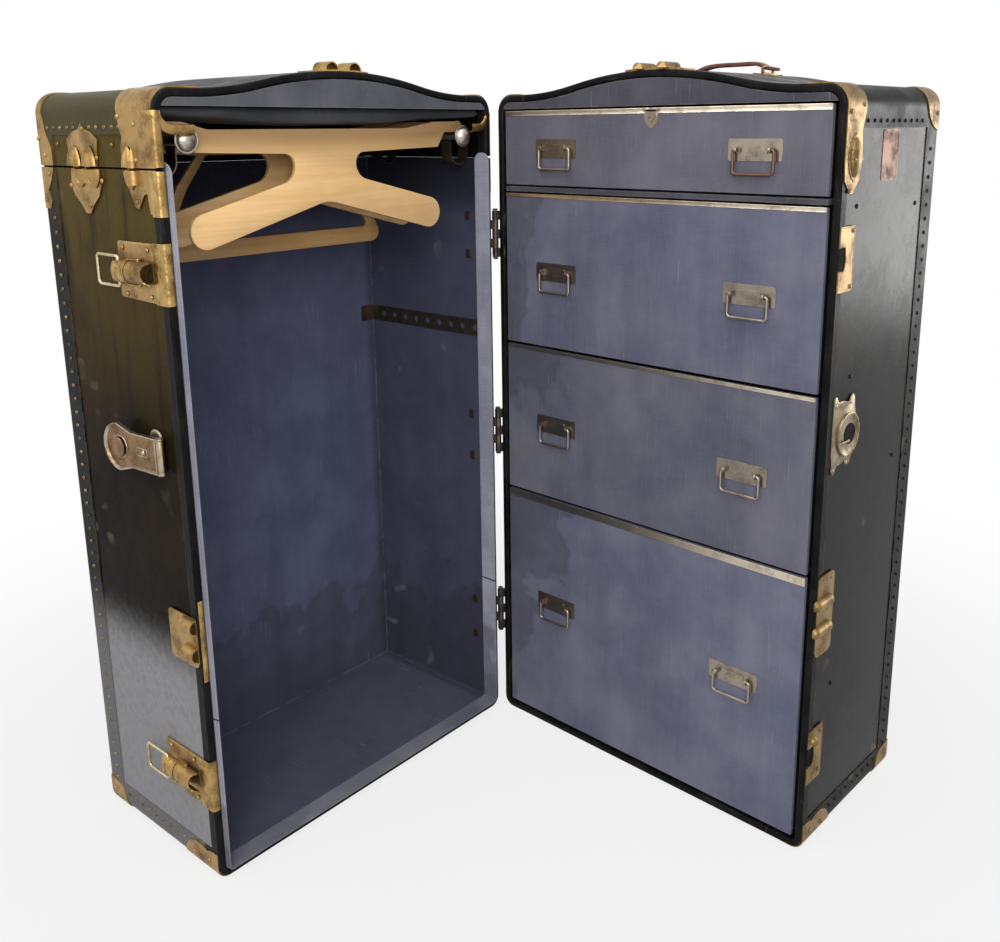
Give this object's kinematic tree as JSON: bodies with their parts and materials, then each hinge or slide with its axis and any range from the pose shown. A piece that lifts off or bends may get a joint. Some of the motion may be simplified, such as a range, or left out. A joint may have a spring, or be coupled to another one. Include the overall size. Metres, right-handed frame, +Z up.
{
  "type": "wardrobe trunk",
  "caption": "Upright wardrobe trunk that opens like a book: drawers in one half, a hanging compartment with sliding rods, hangers and a lift-top in the other.",
  "frame": {"origin": "on the floor under the middle of the open trunk's footprint", "axes": "+Z up; the drawer half faces -Y, and the hanging half stands open at 87 degrees to it and faces +X"},
  "size_m": [0.8585, 0.8686, 1.0562],
  "materials": {
    "black_hide": "glossy black lacquered fibre",
    "black_binding": "black vulcanised fibre binding",
    "blue_cloth": "worn dark blue cloth on card",
    "cushion_cloth": "padded dark cloth",
    "brass": "tarnished stamped brass",
    "nickel": "worn nickel plate",
    "dark_steel": "dark oiled steel",
    "plywood": "clear varnished plywood",
    "drawer_wood": "plain softwood",
    "brown_leather": "dry brown leather"
  },
  "bodies": {
    "drawer_half": {"drawer_case": "black_hide", "drawer_case_edging": "black_binding", "drawer_valance": "blue_cloth", "dust_board": "blue_cloth", "drawer_runners": "drawer_wood", "drawer_case_caps": "brass", "bolt_catches": "brass", "lock_receiver": "nickel", "drawer_case_dowels": "brass", "carry_handle_mounts": "brass", "hinge_leaves_drawer_side": "dark_steel", "hinge_pins": "dark_steel", "carry_handle": "brown_leather"},
    "hanging_half": {"hanging_case": "black_hide", "hanging_case_edging": "black_binding", "hanging_lining": "blue_cloth", "dust_lip": "blue_cloth", "hanging_case_caps": "brass", "hanging_case_dowel_sockets": "brass", "draw_bolt_bases": "brass", "hasp_leaf": "nickel", "hinge_leaves_hanging_side": "dark_steel", "rod_brackets": "nickel", "shoe_strap": "dark_steel", "lift_top_hinge_leaves_case": "brass"},
    "lift_top": {"lift_top_shell": "black_hide", "lift_top_edging": "black_binding", "lift_top_valance": "blue_cloth", "lift_top_cushion": "cushion_cloth", "lift_top_caps": "brass", "lift_top_hinge_leaves_lid": "brass"},
    "trolley": {"trolley_rods": "nickel"},
    "hanger_front": {"hanger_front": "plywood"},
    "hanger_middle": {"hanger_middle": "plywood"},
    "trouser_hanger": {"trouser_hanger": "plywood"},
    "lock_hasp": {"lock_hasp": "nickel"},
    "upper_draw_bolt_lever": {"upper_draw_bolt_lever": "brass"},
    "upper_draw_bolt_bail": {"upper_draw_bolt_bail": "brass"},
    "lower_draw_bolt_lever": {"lower_draw_bolt_lever": "brass"},
    "lower_draw_bolt_bail": {"lower_draw_bolt_bail": "brass"},
    "drawer_one": {"drawer_one_box": "drawer_wood", "drawer_one_front": "blue_cloth", "drawer_one_handle_plates": "nickel"},
    "drawer_one_bail_left": {"drawer_one_bail_left": "nickel"},
    "drawer_one_bail_right": {"drawer_one_bail_right": "nickel"},
    "drawer_two": {"drawer_two_box": "drawer_wood", "drawer_two_front": "blue_cloth", "drawer_two_handle_plates": "nickel"},
    "drawer_two_bail_left": {"drawer_two_bail_left": "nickel"},
    "drawer_two_bail_right": {"drawer_two_bail_right": "nickel"},
    "drawer_three": {"drawer_three_box": "drawer_wood", "drawer_three_front": "blue_cloth", "drawer_three_handle_plates": "nickel"},
    "drawer_three_bail_left": {"drawer_three_bail_left": "nickel"},
    "drawer_three_bail_right": {"drawer_three_bail_right": "nickel"},
    "drawer_four": {"drawer_four_box": "drawer_wood", "drawer_four_front": "blue_cloth", "drawer_four_handle_plates": "nickel"},
    "drawer_four_bail_left": {"drawer_four_bail_left": "nickel"},
    "drawer_four_bail_right": {"drawer_four_bail_right": "nickel"}
  },
  "joints": [
    {"name": "main_hinge", "type": "hinge", "parent": "drawer_half", "child": "hanging_half", "pos_m": [-0.14267, 0.149, 0.492], "axis": [0, 0, -1], "range_deg": [-87.1, 92.8]},
    {"name": "lift_top_hinge", "type": "hinge", "parent": "hanging_half", "child": "lift_top", "pos_m": [-0.41351, -0.15159, 0.92725], "axis": [0.0489, -0.9988, 0], "range_deg": [0, 100]},
    {"name": "trolley_slide", "type": "slide", "parent": "hanging_half", "child": "trolley", "axis": [0.9988, 0.0489, 0], "range_m": [0, 0.18]},
    {"name": "hanger_front_slide", "type": "slide", "parent": "trolley", "child": "hanger_front", "axis": [0.9988, 0.0489, 0], "range_m": [-0.035, 0.004]},
    {"name": "hanger_middle_slide", "type": "slide", "parent": "trolley", "child": "hanger_middle", "axis": [0.9988, 0.0489, 0], "range_m": [-0.04, 0.04]},
    {"name": "trouser_hanger_slide", "type": "slide", "parent": "trolley", "child": "trouser_hanger", "axis": [0.9988, 0.0489, 0], "range_m": [-0.06, 0.03]},
    {"name": "hasp_hinge", "type": "hinge", "parent": "hanging_half", "child": "lock_hasp", "pos_m": [-0.1526, -0.42587, 0.585], "axis": [0, 0, 1], "range_deg": [0, 175]},
    {"name": "upper_lever_hinge", "type": "hinge", "parent": "hanging_half", "child": "upper_draw_bolt_lever", "pos_m": [-0.16463, -0.42546, 0.808], "axis": [0, 0, 1], "range_deg": [0, 110]},
    {"name": "upper_bail_hinge", "type": "hinge", "parent": "upper_draw_bolt_lever", "child": "upper_draw_bolt_bail", "pos_m": [-0.20034, -0.43221, 0.808], "axis": [0, 0, 1], "range_deg": [0, 110]},
    {"name": "lower_lever_hinge", "type": "hinge", "parent": "hanging_half", "child": "lower_draw_bolt_lever", "pos_m": [-0.16463, -0.42546, 0.142], "axis": [0, 0, 1], "range_deg": [0, 110]},
    {"name": "lower_bail_hinge", "type": "hinge", "parent": "lower_draw_bolt_lever", "child": "lower_draw_bolt_bail", "pos_m": [-0.20034, -0.43221, 0.142], "axis": [0, 0, 1], "range_deg": [0, 110]},
    {"name": "drawer_one_slide", "type": "slide", "parent": "drawer_half", "child": "drawer_one", "axis": [0, -1, 0], "range_m": [0, 0.2]},
    {"name": "drawer_one_bail_left_hinge", "type": "hinge", "parent": "drawer_one", "child": "drawer_one_bail_left", "pos_m": [-0.01867, 0.1443, 0.9405], "axis": [-1, 0, 0], "range_deg": [0, 95]},
    {"name": "drawer_one_bail_right_hinge", "type": "hinge", "parent": "drawer_one", "child": "drawer_one_bail_right", "pos_m": [0.30733, 0.1443, 0.9405], "axis": [-1, 0, 0], "range_deg": [0, 95]},
    {"name": "drawer_two_slide", "type": "slide", "parent": "drawer_half", "child": "drawer_two", "axis": [0, -1, 0], "range_m": [0, 0.2]},
    {"name": "drawer_two_bail_left_hinge", "type": "hinge", "parent": "drawer_two", "child": "drawer_two_bail_left", "pos_m": [-0.01867, 0.1443, 0.7595], "axis": [-1, 0, 0], "range_deg": [0, 95]},
    {"name": "drawer_two_bail_right_hinge", "type": "hinge", "parent": "drawer_two", "child": "drawer_two_bail_right", "pos_m": [0.30733, 0.1443, 0.7595], "axis": [-1, 0, 0], "range_deg": [0, 95]},
    {"name": "drawer_three_slide", "type": "slide", "parent": "drawer_half", "child": "drawer_three", "axis": [0, -1, 0], "range_m": [0, 0.2]},
    {"name": "drawer_three_bail_left_hinge", "type": "hinge", "parent": "drawer_three", "child": "drawer_three_bail_left", "pos_m": [-0.01867, 0.1443, 0.522], "axis": [-1, 0, 0], "range_deg": [0, 95]},
    {"name": "drawer_three_bail_right_hinge", "type": "hinge", "parent": "drawer_three", "child": "drawer_three_bail_right", "pos_m": [0.30733, 0.1443, 0.522], "axis": [-1, 0, 0], "range_deg": [0, 95]},
    {"name": "drawer_four_slide", "type": "slide", "parent": "drawer_half", "child": "drawer_four", "axis": [0, -1, 0], "range_m": [0, 0.2]},
    {"name": "drawer_four_bail_left_hinge", "type": "hinge", "parent": "drawer_four", "child": "drawer_four_bail_left", "pos_m": [-0.01867, 0.1443, 0.2235], "axis": [-1, 0, 0], "range_deg": [0, 95]},
    {"name": "drawer_four_bail_right_hinge", "type": "hinge", "parent": "drawer_four", "child": "drawer_four_bail_right", "pos_m": [0.30733, 0.1443, 0.2235], "axis": [-1, 0, 0], "range_deg": [0, 95]}
  ]
}
